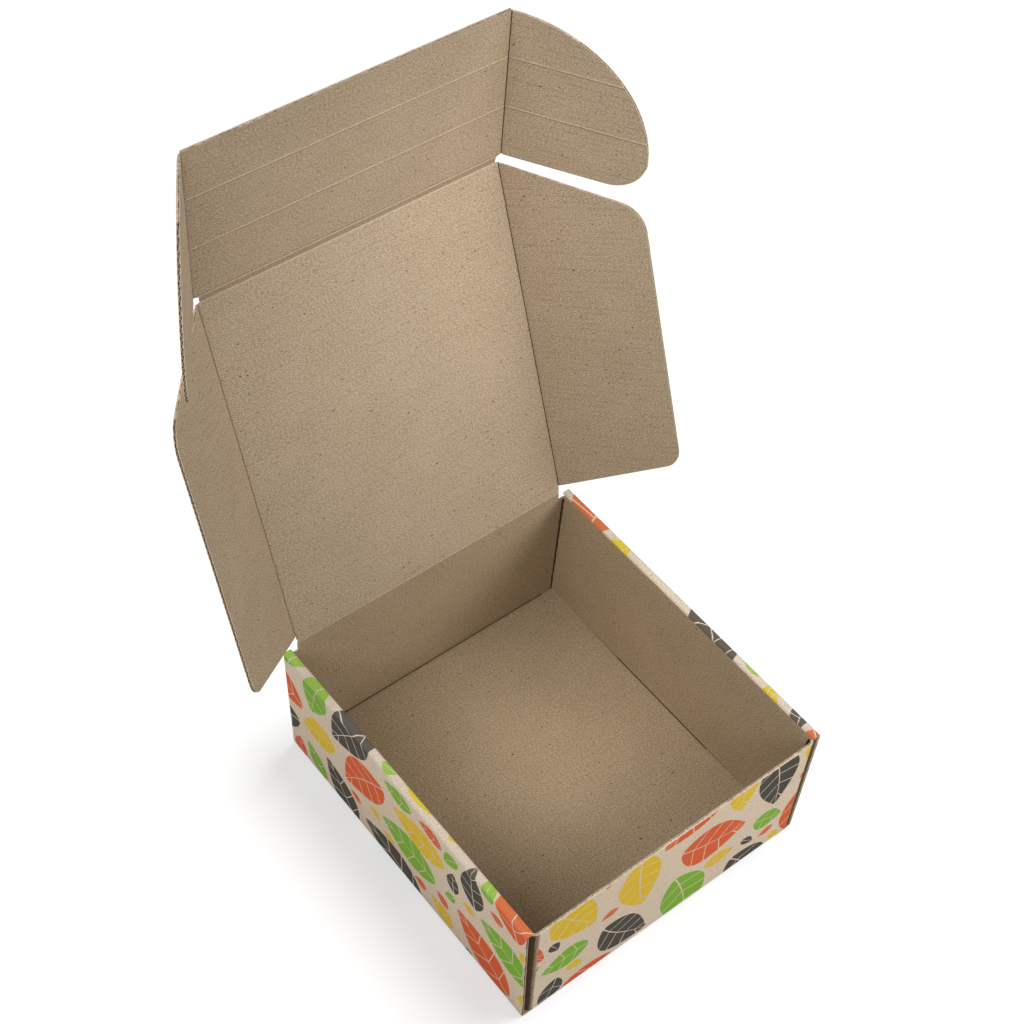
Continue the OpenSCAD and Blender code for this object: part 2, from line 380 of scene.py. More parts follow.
KRAFT = paper("kraft", (144, 122, 94), (182, 161, 134), (218, 200, 174), flute_shade=0.015)
GROUND = paper("print_ground", (208, 184, 155), (235, 213, 186), (252, 236, 214), flute_shade=0.01, speck=0.5,
               fleck_dark=(162, 136, 106), rim_sheen=(238, 221, 199))
ORANGE = ink("ink_orange", (214, 86, 42), (228, 99, 52), (240, 116, 70), (180, 66, 32), (238, 126, 76))
GREEN = ink("ink_green", (114, 166, 42), (131, 182, 53), (148, 198, 72), (90, 136, 34), (168, 208, 88))
YELLOW = ink("ink_yellow", (224, 182, 32), (238, 196, 44), (248, 210, 66), (192, 152, 24), (238, 212, 62))
CHAR = ink("ink_charcoal", (56, 52, 46), (66, 61, 53), (80, 75, 66), (42, 39, 34), (104, 98, 88), speck=0.2)
# Cut edges, paler than the board: partly the cut facing's own colour, partly painted highlight.
CUT_EDGE_HIGHLIGHT = paper("cut_liner", (212, 190, 162), (234, 216, 192), (246, 232, 212), speck=0.3)
CORE = paper("medium", (176, 150, 120), (204, 180, 150), (222, 200, 172), speck=0.6)
# Torn flute ends: their own broken paper, with the light tone partly painted highlight.
TORN_HIGHLIGHT = torn("torn_core", (146, 118, 88), (236, 216, 190))
# Painted shade: kraft with stronger flute stripes, for the wings and ears.
KRAFT_FLUTE_SHADE = paper("kraft_flute_shade", (143, 121, 93), (181, 160, 133), (217, 199, 173), flute_shade=0.025)
# Painted highlight: the lit tops of the score ridges and of the tuck crease's outward bump.
HIGHLIGHT = paper("kraft_highlight", (170, 149, 122), (198, 178, 152), (226, 208, 184))
# Painted shade: the deep brown of fold grooves, corner gaps, open flutes and the line under the lock tab.
CREASE_SHADE = paper("crease", (58, 38, 20), (76, 54, 32), (98, 76, 52))
# Painted shade: the shaded side of score ridges and of the tuck's crease, and the corner bends' gap.
SHADE = paper("kraft_shade", (118, 96, 70), (142, 120, 93), (164, 142, 114))
# Painted shade: a darker, more saturated copy of the kraft for the tray.
INSIDE_SHADE = paper("kraft_inside_shade", (134, 112, 82), (173, 152, 122), (210, 191, 163), flute_shade=0.012)
# Painted shade: a darker kraft for the band between the tuck's two creases.
BAND_SHADE = paper("kraft_band_shade", (130, 109, 83), (160, 139, 112), (190, 171, 145))
# Painted shade: a slightly darker copy of the kraft for the tuck flap's inner side.
TUCK_SHADE = paper("kraft_tuck_shade", (136, 114, 87), (173, 152, 125), (209, 191, 165), flute_shade=0.015)


# Outlines in the flat sheet
def arc_corner(before, here, after, r, steps):
    p, a, b = np.array(here, float), np.array(before, float), np.array(after, float)
    if r <= 0:
        return [tuple(p)]
    ta, tb = unit(a - p), unit(b - p)
    half = math.acos(max(-1, min(1, float(ta @ tb)))) / 2
    c = p + unit(ta + tb) * r / math.sin(half)
    start = p + ta * r / math.tan(half) - c
    sweep = (math.pi - 2 * half) * (1 if ta[0] * tb[1] - ta[1] * tb[0] < 0 else -1)
    out = []
    for i in range(steps + 1):
        w = sweep * i / steps
        cw, sw = math.cos(w), math.sin(w)
        out.append((c[0] + start[0] * cw - start[1] * sw, c[1] + start[0] * sw + start[1] * cw))
    return out


def rounded(corners, steps):
    n = len(corners)
    out = []
    for i, (x, y, r) in enumerate(corners):
        out += arc_corner(corners[i - 1][:2], (x, y), corners[(i + 1) % n][:2], r, steps)
    return out


def rect(u0, v0, u1, v1):
    return [(u0, v0), (u1, v0), (u1, v1), (u0, v1)]


def mirrored(side, ring):
    """The outline as it is for the right side, or mirrored for the left."""
    return [(side * u, v) for u, v in ring][::side]


def inside(poly, pts):
    """For each point, whether it lies inside the polygon."""
    p, q = np.asarray(poly, float), np.asarray(pts, float)
    x, y = q[:, 0], q[:, 1]
    hit = np.zeros(len(q), bool)
    for (a, b), (c, d) in zip(p, np.roll(p, -1, axis=0)):
        if b != d:
            hit ^= ((b > y) != (d > y)) & (x < (c - a) * (y - b) / (d - b) + a)
    return hit


# The printed leaves: pointed ovals with pale ribs, scattered over the sheet's outer side
def leaf_shape(cx, cy, length, width, angle, bend, veins):
    """Blade pieces of one leaf, as polygons in the flat sheet."""
    rib = 0.35 + length * 0.012

    def place(s, h):
        x = (s - 0.5) * length
        y = h + bend * (4 * s * (1 - s) - 0.5) * length
        ca, sa = math.cos(angle), math.sin(angle)
        return (cx + x * ca - y * sa, cy + x * sa + y * ca)

    def half_width(s):
        return width / 2 * math.sin(math.pi * max(0.0, min(1.0, s)) ** 0.82) ** 0.9

    def half_rib(s):
        return rib / 2 * (1 - 0.7 * s)

    out = []
    for side in (-1, 1):
        cuts = [i / (veins + 1) for i in range(veins + 2)]
        for i in range(len(cuts) - 1):
            gap = 0.35 * rib / length
            s0 = cuts[i] + (gap if i else 0.02)
            s1 = cuts[i + 1] - (gap if i < len(cuts) - 2 else 0.02)
            slant = 0.11 if veins else 0.0
            n = 7 if veins else 16
            stops = [s0 + (s1 - s0) * j / n for j in range(n + 1)]
            lo = [(s, half_rib(s)) for s in stops]
            hi = []
            top0 = s0 + (slant if i else 0.0)
            top1 = s1 + (slant if i < len(cuts) - 2 else 0.0)
            for j in range(n + 1):
                s = top0 + (min(top1, 0.985) - top0) * j / n
                h = half_width(s)
                if h > half_rib(s) + 0.12:
                    hi.append((s, h))
            if len(hi) > 1:
                out.append([place(s, side * h) for s, h in lo + hi[::-1]])
    return out


# Circles that stand for a leaf while the leaves are spread: place along it, and radius, by its size
LEAF_DOTS = ((-0.45, 0.14), (-0.26, 0.42), (0, 0.5), (0.24, 0.4), (0.44, 0.16))
LEAF_CLEAR = 1.0

# Leaves from large to small: shortest, longest, tries
LEAF_ROUNDS = ((47, 62, 3000), (33, 46, 8000), (20, 32, 14000), (11, 18, 9000))

# How many veins a leaf has, by the least length
LEAF_VEINS = ((4, 45), (3, 31), (2, 19), (0, 0))

# Areas of the flat sheet that are printed: the tray, and the lid with its flaps
PRINTED = [(-215, 215, -215, 225), (-190, 190, 215, 555)]


def touches(dots, others):
    """Whether a leaf's circles come too close to those of a leaf that is already placed."""
    cx, cy = dots[2][:2]
    for other in others:
        if abs(other[2][0] - cx) + abs(other[2][1] - cy) > 110:
            continue
        for x, y, r in dots:
            if any((x - a) ** 2 + (y - b) ** 2 < (r + c + LEAF_CLEAR) ** 2 for a, b, c in other):
                return True
    return False


def scatter_leaves():
    """Leaves packed over the sheet's outer side without touching, with seeded sizes, turns and colours."""
    inks = [ORANGE, GREEN, YELLOW, CHAR]
    placed, leaves = [], []
    for shortest, longest, tries in LEAF_ROUNDS:
        for _ in range(tries):
            u0, u1, v0, v1 = PRINTED[0] if rng.random() < 0.57 else PRINTED[1]
            length = rng.uniform(shortest, longest)
            width = length * rng.uniform(0.5, 0.66)
            cx, cy = rng.uniform(u0, u1), rng.uniform(v0, v1)
            angle = rng.uniform(0, math.pi)
            ca, sa = math.cos(angle), math.sin(angle)
            dots = [(cx + ca * length * f, cy + sa * length * f, max(width * w, 1.6)) for f, w in LEAF_DOTS]
            if touches(dots, placed):
                continue
            near = [leaf[1] for other, leaf in zip(placed, leaves)
                    if math.hypot(other[2][0] - cx, other[2][1] - cy) < 46]
            rarest = min(near.count(i) for i in inks)
            choice = [i for i in inks if near.count(i) == rarest]
            colour = choice[rng.randrange(len(choice))]
            bend = rng.uniform(-0.07, 0.07)
            veins = next(n for n, least in LEAF_VEINS if length > least)
            placed.append(dots)
            leaves.append((leaf_shape(cx, cy, length, width, angle, bend, veins), colour))
    return leaves


LEAVES = [(np.array(ring), ink) for rings, ink in scatter_leaves() for ring in rings]


def prints_near(outline):
    """The leaves that may reach into an outline."""
    o = np.asarray(outline)
    lo, hi = o.min(0), o.max(0)
    return [(ring, ink) for ring, ink in LEAVES if (ring.max(0) > lo).all() and (ring.min(0) < hi).all()]


# Meshes cut from the flat sheet and carried to their place in the box
def flat_mesh(outline, lines=(), holes=(), prints=()):
    """Triangles over an outline in the flat sheet, with an ink for each."""
    pts, edges = [], []

    def loop(ring):
        base = len(pts)
        pts.extend((float(a), float(b)) for a, b in ring)
        n = len(ring)
        edges.extend((base + i, base + (i + 1) % n) for i in range(n))

    loop(outline)
    for h in holes:
        loop(h)
    for ring, _ in prints:
        loop(ring)
    for a, b in lines:
        base = len(pts)
        pts.extend([(float(a[0]), float(a[1])), (float(b[0]), float(b[1]))])
        edges.append((base, base + 1))
    v, _, f, *_ = delaunay_2d_cdt(pts, edges, [], 0, 1e-5, False)
    v = np.array([(p[0], p[1]) for p in v])
    f = np.array([t for t in f if len(t) == 3])
    mid = v[f].mean(1)
    keep = inside(outline, mid)
    for h in holes:
        keep &= ~inside(h, mid)
    f = f[keep]
    mid = mid[keep]
    a, b, c = v[f[:, 0]], v[f[:, 1]], v[f[:, 2]]
    area = np.abs((b[:, 0] - a[:, 0]) * (c[:, 1] - a[:, 1]) - (c[:, 0] - a[:, 0]) * (b[:, 1] - a[:, 1]))
    f, mid = f[area > 1e-7], mid[area > 1e-7]
    ink = np.full(len(f), -1)
    for ring, m in prints:
        lo, hi = ring.min(0), ring.max(0)
        near = np.where((mid > lo).all(1) & (mid < hi).all(1))[0]
        if len(near):
            ink[near[inside(ring, mid[near])]] = m
    used = np.unique(f)
    remap = np.full(len(v), -1)
    remap[used] = np.arange(len(used))
    return v[used], remap[f], ink


def new_object(name, data):
    ob = bpy.data.objects.new(name, data)
    bpy.context.scene.collection.objects.link(ob)
    return ob


def make(name, verts, faces, mats, uvs, body):
    """One mesh object from points in millimetres, riding on a body when one is given."""
    me = bpy.data.meshes.new(name)
    points = [tuple(p) for p in np.asarray(verts) / 1000.0]
    me.from_pydata(points, [], [tuple(int(i) for i in q) for q in faces])
    used = sorted(set(int(m) for m in mats))
    for m in used:
        me.materials.append(MATS[m])
    me.polygons.foreach_set("material_index", [used.index(int(m)) for m in mats])
    layer = me.uv_layers.new(name="UVMap")
    loops = np.array([l.vertex_index for l in me.loops])
    layer.data.foreach_set("uv", (np.asarray(uvs)[loops] / 1000.0).astype(np.float32).ravel())
    me.update()
    bm = bmesh.new()
    bm.from_mesh(me)
    bmesh.ops.recalc_face_normals(bm, faces=bm.faces)
    bm.to_mesh(me)
    bm.free()
    me.shade_smooth()
    me.set_sharp_from_angle(angle=math.radians(32))
    ob = new_object(name, me)
    if body:
        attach(ob, body)
    return ob


def roughen(outline, edges, amp=0.2, step=2.0):
    """Raw edges along the flutes, at the given V, broken up a little towards the sheet's inside."""
    p = [tuple(q) for q in outline]
    mid_v = sum(q[1] for q in p) / len(p)
    out = []
    for i, a in enumerate(p):
        b = p[(i + 1) % len(p)]
        out.append(a)
        level = abs(a[1] - b[1]) < 1e-6 and abs(a[0] - b[0]) > 2 * step
        if level and any(abs(a[1] - e) < 0.01 for e in edges):
            n = int(abs(a[0] - b[0]) / step)
            sign = 1 if mid_v > a[1] else -1
            for k in range(1, n):
                u = a[0] + (b[0] - a[0]) * (k + rng.uniform(-0.3, 0.3)) / n
                out.append((u, a[1] + sign * amp * rng.random() ** 1.5))
    return out


def chosen(mat, mid):
    """Material numbers for faces: one for all, or by the middle of each face."""
    return [mat] * len(mid) if isinstance(mat, int) else [int(m) for m in mat(mid)]


def slab(name, body, outline, place, w0, w1, top, bottom, lines=(), holes=(), prints=False, rough=()):
    """A closed sheet between depths w0 and w1. Ink goes on its lower side, the sheet's outer side."""
    outline = roughen(outline, rough)
    v, f, ink = flat_mesh(outline, lines, holes, prints_near(outline) if prints else [])
    n = len(v)
    up = place(v[:, 0], v[:, 1], np.full(n, float(w1)))
    down = place(v[:, 0], v[:, 1], np.full(n, float(w0)))
    mid = v[f].mean(1)
    faces = [tuple(t) for t in f] + [tuple(int(i) + n for i in t[::-1]) for t in f]
    under = chosen(bottom, mid)
    mats = chosen(top, mid) + [m if k < 0 or m != GROUND else int(k) for k, m in zip(ink, under)]
    # The tray's plain kraft takes its darker copy: painted shade.
    if body == "tray":
        mats = [INSIDE_SHADE if m == KRAFT else m for m in mats]
    count = {}
    for t in f:
        for a, b in ((t[0], t[1]), (t[1], t[2]), (t[2], t[0])):
            key = (min(a, b), max(a, b))
            count.setdefault(key, []).append((a, b))
    # Raw edge faces take the cut edges' colour, partly painted highlight.
    for users in count.values():
        if len(users) == 1:
            a, b = users[0]
            faces.append((int(a), int(a) + n, int(b) + n, int(b)))
            mats.append(CUT_EDGE_HIGHLIGHT)
    return make(name, np.vstack([up, down]), faces, mats, np.vstack([v, v]), body)


def spans_at(rings, v):
    """Where the line at this V runs inside the outline: sorted crossings in pairs."""
    xs = []
    for ring in rings:
        p = np.asarray(ring)
        q = np.roll(p, -1, axis=0)
        cond = (p[:, 1] > v) != (q[:, 1] > v)
        a, b = p[cond], q[cond]
        xs.extend((a[:, 0] + (v - a[:, 1]) / (b[:, 1] - a[:, 1]) * (b[:, 0] - a[:, 0])).tolist())
    xs.sort()
    return [(xs[i], xs[i + 1]) for i in range(0, len(xs) - 1, 2)]


def torn_ends(ring, inwards, verts, faces, mats, gap):
    """Adds the torn ends of the wavy paper along the edges of a ring that run with the flutes. Their upper
    halves are painted shade for the open gap between the facings, all along where gap is set and in random
    stretches elsewhere.
    """
    p = np.asarray(ring, float)
    area = 0.5 * np.sum(p[:, 0] * np.roll(p[:, 1], -1) - np.roll(p[:, 0], -1) * p[:, 1])
    sign = (1 if area > 0 else -1) * inwards
    inside_w = HALF - LINER + 0.02
    for i in range(len(p)):
        a, b = p[i], p[(i + 1) % len(p)]
        e = b - a
        l = np.linalg.norm(e)
        if l < 0.3 or abs(e[0]) / l < 0.9:
            continue
        nrm = np.array([-e[1], e[0]]) / l * sign
        n = max(1, int(l / 1.3))
        depth = [0.03 + 0.09 * rng.random() for _ in range(n + 1)]
        middle = [rng.uniform(0.0, 0.24) for _ in range(n + 1)]
        open_gap = False
        base = len(verts)
        for k in range(n + 1):
            q = a + e * k / n
            for w, extra in ((-inside_w, 0.0), (middle[k], 0.08), (inside_w, 0.6 if gap else 0.12)):
                r = q + nrm * (depth[k] + extra)
                verts.append((r[0], r[1], w))
        for k in range(n):
            if rng.random() < 0.35:
                open_gap = not open_gap
            s = base + 3 * k
            faces.append((s, s + 3, s + 4, s + 1))
            mats.append(TORN_HIGHLIGHT if gap else CUT_EDGE_HIGHLIGHT)
            # Painted shade for the open gap between the facings.
            faces.append((s + 1, s + 4, s + 5, s + 2))
            mats.append(CREASE_SHADE if gap or open_gap else TORN_HIGHLIGHT)


def medium(name, body, outline, place, holes=(), cuts=(), core=True, gap=False):
    """The wavy paper between the facings, ruled along the flutes, and its torn ends along cut edges."""
    inset = 0.04
    per_pitch = 10
    o = np.asarray(outline)
    v0, v1 = o[:, 1].min() + 0.02, o[:, 1].max() - 0.02
    amp = HALF - LINER - MEDIUM / 2 + 0.02
    step = PITCH / per_pitch
    whole = range(math.ceil(v0 / step), math.floor(v1 / step) + 1)
    rows = [v0] + [k * step for k in whole if v0 + 0.01 < k * step < v1 - 0.01] + [v1]
    verts, faces = [], []
    last = None
    for v in rows:
        row = []
        w = amp * max(-1.0, min(1.0, 1.22 * math.sin(2 * math.pi * v / PITCH)))
        for a, b in spans_at([outline] + list(holes), v):
            a, b = a + inset, b - inset
            if b - a < 0.4:
                continue
            us = [a] + [c for c in cuts if a + 0.05 < c < b - 0.05] + [b]
            base = len(verts)
            for side in (-1, 1):
                for u in us:
                    verts.append((u, v, w + side * MEDIUM / 2))
            row.append((a, b, base, len(us)))
        if last:
            for a, b, base, n in row:
                for a2, b2, base2, n2 in last:
                    if n == n2 and min(b, b2) - max(a, a2) > 0.5 * min(b - a, b2 - a2):
                        for k in range(n - 1):
                            faces.append((base + k, base + k + 1, base2 + k + 1, base2 + k))
                            faces.append((base + n + k, base2 + n + k, base2 + n + k + 1, base + n + k + 1))
                        faces.append((base, base2, base2 + n, base + n))
                        faces.append((base + n - 1, base + 2 * n - 1, base2 + 2 * n - 1, base2 + n - 1))
        last = row
    mats = [CORE] * len(faces)
    if core:
        torn_ends(outline, 1, verts, faces, mats, gap)
        for hole in holes:
            torn_ends(hole, -1, verts, faces, mats, gap)
    p = np.array(verts)
    return make(name, place(p[:, 0], p[:, 1], p[:, 2]), faces, mats, p[:, :2], body)


def board(name, body, outline, place, lines=(), holes=(), cuts=(), inner=KRAFT, outer=GROUND,
          core=True, score=None, rough=()):
    """One panel: inner facing, which it gives back, outer facing with its print, and the flutes."""
    w = HALF - LINER
    facing = slab(name + "_inner", body, outline, score or place, w, HALF, inner, CORE,
                  lines, holes, False, rough)
    slab(name + "_outer", body, outline, place, -HALF, -w, CORE, outer, lines, holes, True, rough)
    medium(name + "_flutes", body, outline, place, holes, cuts, core)
    return facing


# Directions of the panels in the box
def swung(angle):
    """Directions of a panel that is swung open by this angle: away from the hinge, and its inner normal."""
    c, s = math.cos(angle), math.sin(angle)
    return np.array([0, -c, s]), np.array([0, -s, -c])


def turned(side, fold, normal):
    """The same for a flap folded by this angle at the side of a panel with this inner normal."""
    c, s = math.cos(fold), math.sin(fold)
    return side * c * X + s * normal, c * normal - side * s * X


X = np.array([1.0, 0, 0])
UP = np.array([0, 0, 1.0])
LID_RUN, LID_IN = swung(LID_OPEN)
TUCK_RUN, TUCK_IN = swung(LID_OPEN - TUCK_FOLD)
HINGE = np.array([0, WALL_Y, HINGE_Z])
TUCK = HINGE + LID_L * LID_RUN

# What carries the side flaps: body, foot, its V, where the flaps start, their U, direction and normal
LID_SIDE = ("lid", HINGE, V_LID, HINGE_RISE, WING_X, LID_RUN, LID_IN)
TUCK_SIDE = ("tuck_flap", TUCK, V_TUCK, CREASE_GAP, EAR_X, TUCK_RUN, TUCK_IN)

# Side flaps: body, side and fold
WINGS = (("wing_right", 1, WING_FOLD_R), ("wing_left", -1, WING_FOLD_L))
EARS = (("ear_right", 1, EAR_FOLD_R), ("ear_left", -1, EAR_FOLD_L))


# Places: functions that carry (U, V, depth) to the box. Depth is positive towards the sheet's inner side.
def crushed(distance):
    """The share of its thickness that the board keeps at this distance from a fold's end."""
    return 1 - CRUSH * np.exp(-(np.maximum(distance, 0) / CRUSH_W) ** 2)


def plane(origin, eu, ev, n, u0, v0, crease=None):
    def place(u, v, w):
        k = crease(u, v) if crease else 1.0
        return origin + np.outer(u - u0, eu) + np.outer(v - v0, ev) + np.outer(w * k, n)
    return place


def flap_place(side, fold, panel):
    """The place of a side flap, whose board thins towards its fold."""
    _, foot, v_foot, _, fold_x, run, normal = panel
    out, inner = turned(side, fold, normal)

    def crease(u, v):
        return crushed(np.abs(u) - fold_x - U_END)

    return plane(foot + side * fold_x * X, side * out, run, inner, side * fold_x, v_foot, crease)


def groove(distance, w, depth):
    """How far the inner facing sinks into a fold."""
    return depth * np.exp(-(distance / GROOVE_W) ** 2) * np.clip((w + 0.55) / 1.1, 0, 1)


def ridge(place, lines, fold):
    """The same place with score lines that stand up on the inner side, and fade out towards the fold."""
    def raised(u, v, w):
        fade = np.clip((np.abs(np.abs(u) - fold) - U_END - 0.6) / 2.2, 0, 1)
        lift = sum(RIDGE_H * fade * np.maximum(0, 1 - np.abs(v - c) / RIDGE_FOOT) for c in lines)
        return place(u, v, w + np.where(w > 0, lift, 0))
    return raised


def v_line(v, u0, u1):
    return ((u0, v), (u1, v))


def u_line(u, v0, v1):
    return ((u, v0), (u, v1))


# Lid
def lid_crease(u, v):
    return crushed(WING_X - U_END - np.abs(u)) * crushed(v - V_LID - V_END) * crushed(V_TUCK - V_END - v)


lid_place = plane(HINGE, X, LID_RUN, LID_IN, 0, V_LID, lid_crease)
lw = WING_X - U_END
lid_outline = rect(-lw, V_LID + V_END, lw, V_TUCK - V_END)
lid_lines = [u_line(s * (lw - d), V_LID, V_TUCK) for s in (-1, 1) for d in NEAR]
lid_lines += [v_line(V_LID + V_END + d, -lw, lw) for d in NEAR]
lid_lines += [v_line(V_TUCK - V_END - d, -lw, lw) for d in NEAR]
lid = board("lid", "lid", lid_outline, lid_place, lid_lines, core=False)
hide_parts("lid")


# Wings
def wing_outline(side):
    v0, v1 = V_LID + HINGE_RISE, V_TUCK - EDGE_BACK
    u0 = WING_X + U_END
    far_u = WING_X + WING_W
    corners = [(u0, v0 + 0.2, 0), (far_u, v0 + WING_TAPER, WING_NEAR_R),
               (far_u, v1 - WING_TAPER, WING_FAR_R), (u0, v1 - 0.2, 0)]
    return mirrored(side, rounded(corners, 14))


for name, side, fold in WINGS:
    lines = [u_line(side * (WING_X + U_END + d), V_LID, V_TUCK) for d in NEAR]
    wing = board(name, name, wing_outline(side), flap_place(side, fold, LID_SIDE), lines, inner=KRAFT_FLUTE_SHADE)
    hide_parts(name)

# Tuck flap
tw = EAR_X - U_END
neck = WING_X - RELIEF_R
V2 = V_TUCK + CREASE_GAP


def tuck_crease(u, v):
    return crushed(EAR_X - U_END - np.abs(u)) * crushed(v - V_TUCK - V_END)


tuck_place = plane(TUCK, X, TUCK_RUN, TUCK_IN, 0, V_TUCK, tuck_crease)
notch_r = RELIEF_R - 0.05
tuck_corners = [(-neck, V_TUCK + V_END, 0), (neck, V_TUCK + V_END, 0), (neck, V2, notch_r), (tw, V2, 0.4),
                (tw, V_TOP, 0), (-tw, V_TOP, 0), (-tw, V2, 0.4), (-neck, V2, notch_r)]
tuck_outline = rounded(tuck_corners, 6)
scores = (V_TUCK + SCORE_LOW, V_TUCK + SCORE_HIGH)

# Lines of the mesh beside a score, where its ridge and its paint change
RIDGE = (-RIDGE_SIDE, -RIDGE_FOOT, -RIDGE_TOP, 0, RIDGE_TOP, RIDGE_FOOT, RIDGE_SIDE)
tuck_lines = [v_line(c + d, -tw, tw) for c in scores for d in RIDGE]
tuck_lines += [v_line(V_TUCK + V_END + d, -neck, neck) for d in NEAR]
tuck_lines += [v_line(V2 + d, -tw, tw) for d in RIDGE if d > 0]
tuck_lines += [v_line(V2 + d, -neck, neck) for d in RIDGE if d <= 0]
tuck_lines += [u_line(s * (tw - d), V_TUCK, V_TOP) for s in (-1, 1) for d in NEAR]


def score_paint(base):
    """Painted highlight on the score ridges with painted shade on one side of each, and painted shade on
    the band inside the double crease.
    """
    def paint(mid):
        out = np.full(len(mid), base)
        out[(mid[:, 1] > V_TUCK) & (mid[:, 1] < V2)] = BAND_SHADE
        for c, side in ((scores[0], -1), (scores[1], -1), (V2, 1)):
            d = (mid[:, 1] - c) * side
            out[np.abs(d) < RIDGE_TOP] = HIGHLIGHT
            out[(d > RIDGE_TOP) & (d < RIDGE_SIDE)] = SHADE
        return out
    return paint


tuck = board("tuck_flap", "tuck_flap", tuck_outline, tuck_place, tuck_lines, inner=score_paint(TUCK_SHADE),
             score=ridge(tuck_place, scores + (V2,), EAR_X), rough=(V_TOP,))
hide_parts("tuck_flap")


# Ears, which end a little lower than the flap
EAR_DROP = 1.4


def ear_outline(side):
    foot, shoulder = V2, V2 + EAR_SHOULDER
    rise = V_TOP - EAR_DROP - shoulder
    u0 = EAR_X + U_END
    w = EAR_W - U_END
    ring = [(u0, foot)]
    corner = arc_corner((u0, foot), (u0 + w, foot), (u0 + w, shoulder + rise), EAR_CORNER_R, 14)
    ring += [p for p in corner if p[1] <= shoulder]
    turns = [math.pi / 2 * k / 40 for k in range(41)]
    ring += [(u0 + w * math.cos(a), shoulder + rise * math.sin(a)) for a in turns]
    return mirrored(side, ring)


for name, side, fold in EARS:
    place = flap_place(side, fold, TUCK_SIDE)
    lines = [u_line(side * (EAR_X + U_END + d), V_TUCK, V_TOP) for d in NEAR]
    lines += [((side * EAR_X, c + d), (side * (EAR_X + EAR_W), c + d)) for c in scores for d in RIDGE]
    ear = board(name, name, ear_outline(side), place, lines, inner=score_paint(KRAFT_FLUTE_SHADE),
                score=ridge(place, scores, EAR_X))
    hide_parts(name)


# Crease strips across the moving folds
def bend_strip(name, outline, coord, c0, c1, mid0, axis, mid1, along, depth, face):
    """A soft strip round the fold's axis, between the ends of two panels. coord is 0 where the fold
    runs along V and 1 where it runs along U, and depth is how far the inner facing sinks."""
    h = HALF * (1 - CRUSH)
    o = np.asarray(outline)
    v_start = o[:, 1].min() if coord == 0 else 0.0

    def place(u, v, w):
        c = u if coord == 0 else v
        f = np.clip((c - c0) / (c1 - c0), 0, 1)[:, None]
        base = (1 - f) ** 2 * mid0 + 2 * f * (1 - f) * axis + f ** 2 * mid1
        tan = 2 * (1 - f) * (axis - mid0) + 2 * f * (mid1 - axis)
        tan /= np.linalg.norm(tan, axis=1)[:, None]
        nrm = np.cross(along, tan) if coord == 1 else np.cross(tan, along) * (1 if c1 > c0 else -1)
        q = (v - v_start) if coord == 0 else u
        w = w - groove(c - (c0 + c1) / 2, w, depth)
        return base + np.outer(q, along) + w[:, None] * nrm

    # Painted light at the folds: a highlight and a band of shade across the tuck's crease, and dark shade
    # in the side flaps' grooves.
    def paint(mid):
        d = mid[:, coord] - (c0 + c1) / 2
        if coord == 1:
            above = np.where((d > 0.16) & (d < 0.72) & (depth > 0.2), SHADE, face)
            return np.where(d < 0.1, HIGHLIGHT if depth > 0.2 else face, above)
        return np.where(np.abs(d) < 0.27, CREASE_SHADE, face)

    shares = (-0.8, -0.55, -0.36, -0.18, 0, 0.18, 0.36, 0.55, 0.8)
    rows = [(c0 + c1) / 2 + (c1 - c0) / 2 * f for f in shares]
    line, across = (u_line, o[:, 1]) if coord == 0 else (v_line, o[:, 0])
    lines = [line(c, across.min(), across.max()) for c in rows]
    ob = slab(name, None, outline, place, -h, h, paint, GROUND, lines, (), True)
    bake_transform(ob)


def side_strip(flap, side, fold, panel, v_end):
    """The strip round the fold of a side flap, up to this V."""
    body, foot, v_foot, rise, fold_x, run, normal = panel
    out = turned(side, fold, normal)[0]
    axis = foot + side * fold_x * X + rise * run
    c0, c1 = side * (fold_x - U_END), side * (fold_x + U_END)
    outline = rect(min(c0, c1), v_foot + rise, max(c0, c1), v_end)
    bend_strip("crease_" + flap, outline, 0, c0, c1, axis - side * U_END * X, axis,
               axis + U_END * out, run, GROOVE_DEPTH, KRAFT_FLUTE_SHADE)


def level_strip(name, axis, v, half_u, run0, run1, depth):
    """The strip round a fold along U, from one panel's direction into the next one's."""
    c0, c1 = v - V_END, v + V_END
    bend_strip(name, rect(-half_u, c0, half_u, c1), 1, c0, c1, axis - V_END * run0, axis,
               axis + V_END * run1, X, depth, KRAFT)


for name, side, fold in WINGS:
    side_strip(name, side, fold, LID_SIDE, V_TUCK - EDGE_BACK)
for name, side, fold in EARS:
    side_strip(name, side, fold, TUCK_SIDE, V_TOP - EAR_DROP)
back_half = WING_X - EDGE_BACK
level_strip("crease_tuck", TUCK, V_TUCK, neck, LID_RUN, TUCK_RUN, 0.3)
level_strip("crease_lid", HINGE, V_LID, back_half, UP, LID_RUN, 0.1)


# Tray: bottom, front wall and back wall follow one folded line, with V 0 in the bottom's middle
def wall_line(start):
    points = [(-WALL_Y, FRONT_H), (-WALL_Y, HALF), (WALL_Y, HALF), (WALL_Y, HINGE_Z - V_END)]
    return Path(points, [0, BEND_R, BEND_R, 0], start)


bottom_line = wall_line(0.0).seg[2]
long_path = wall_line(-(bottom_line.start + bottom_line.end) / 2)
V_F0, V_F1 = long_path.start, long_path.end
bends = long_path.arcs

# Where the back wall is as high as the front wall
V_LEVEL = V_F1 - (HINGE_Z - V_END - FRONT_H)


def long_place(u, v, w):
    k = np.ones(len(u))
    for g in bends:
        k *= crushed(np.maximum(g.start - v, v - g.end))
    w = w * k
    for g in bends:
        w = w - groove(v - (g.start + g.end) / 2, w, GROOVE_DEPTH)
    p = long_path.at(v, w)
    return np.stack([u, p[:, 0], p[:, 1]], 1)


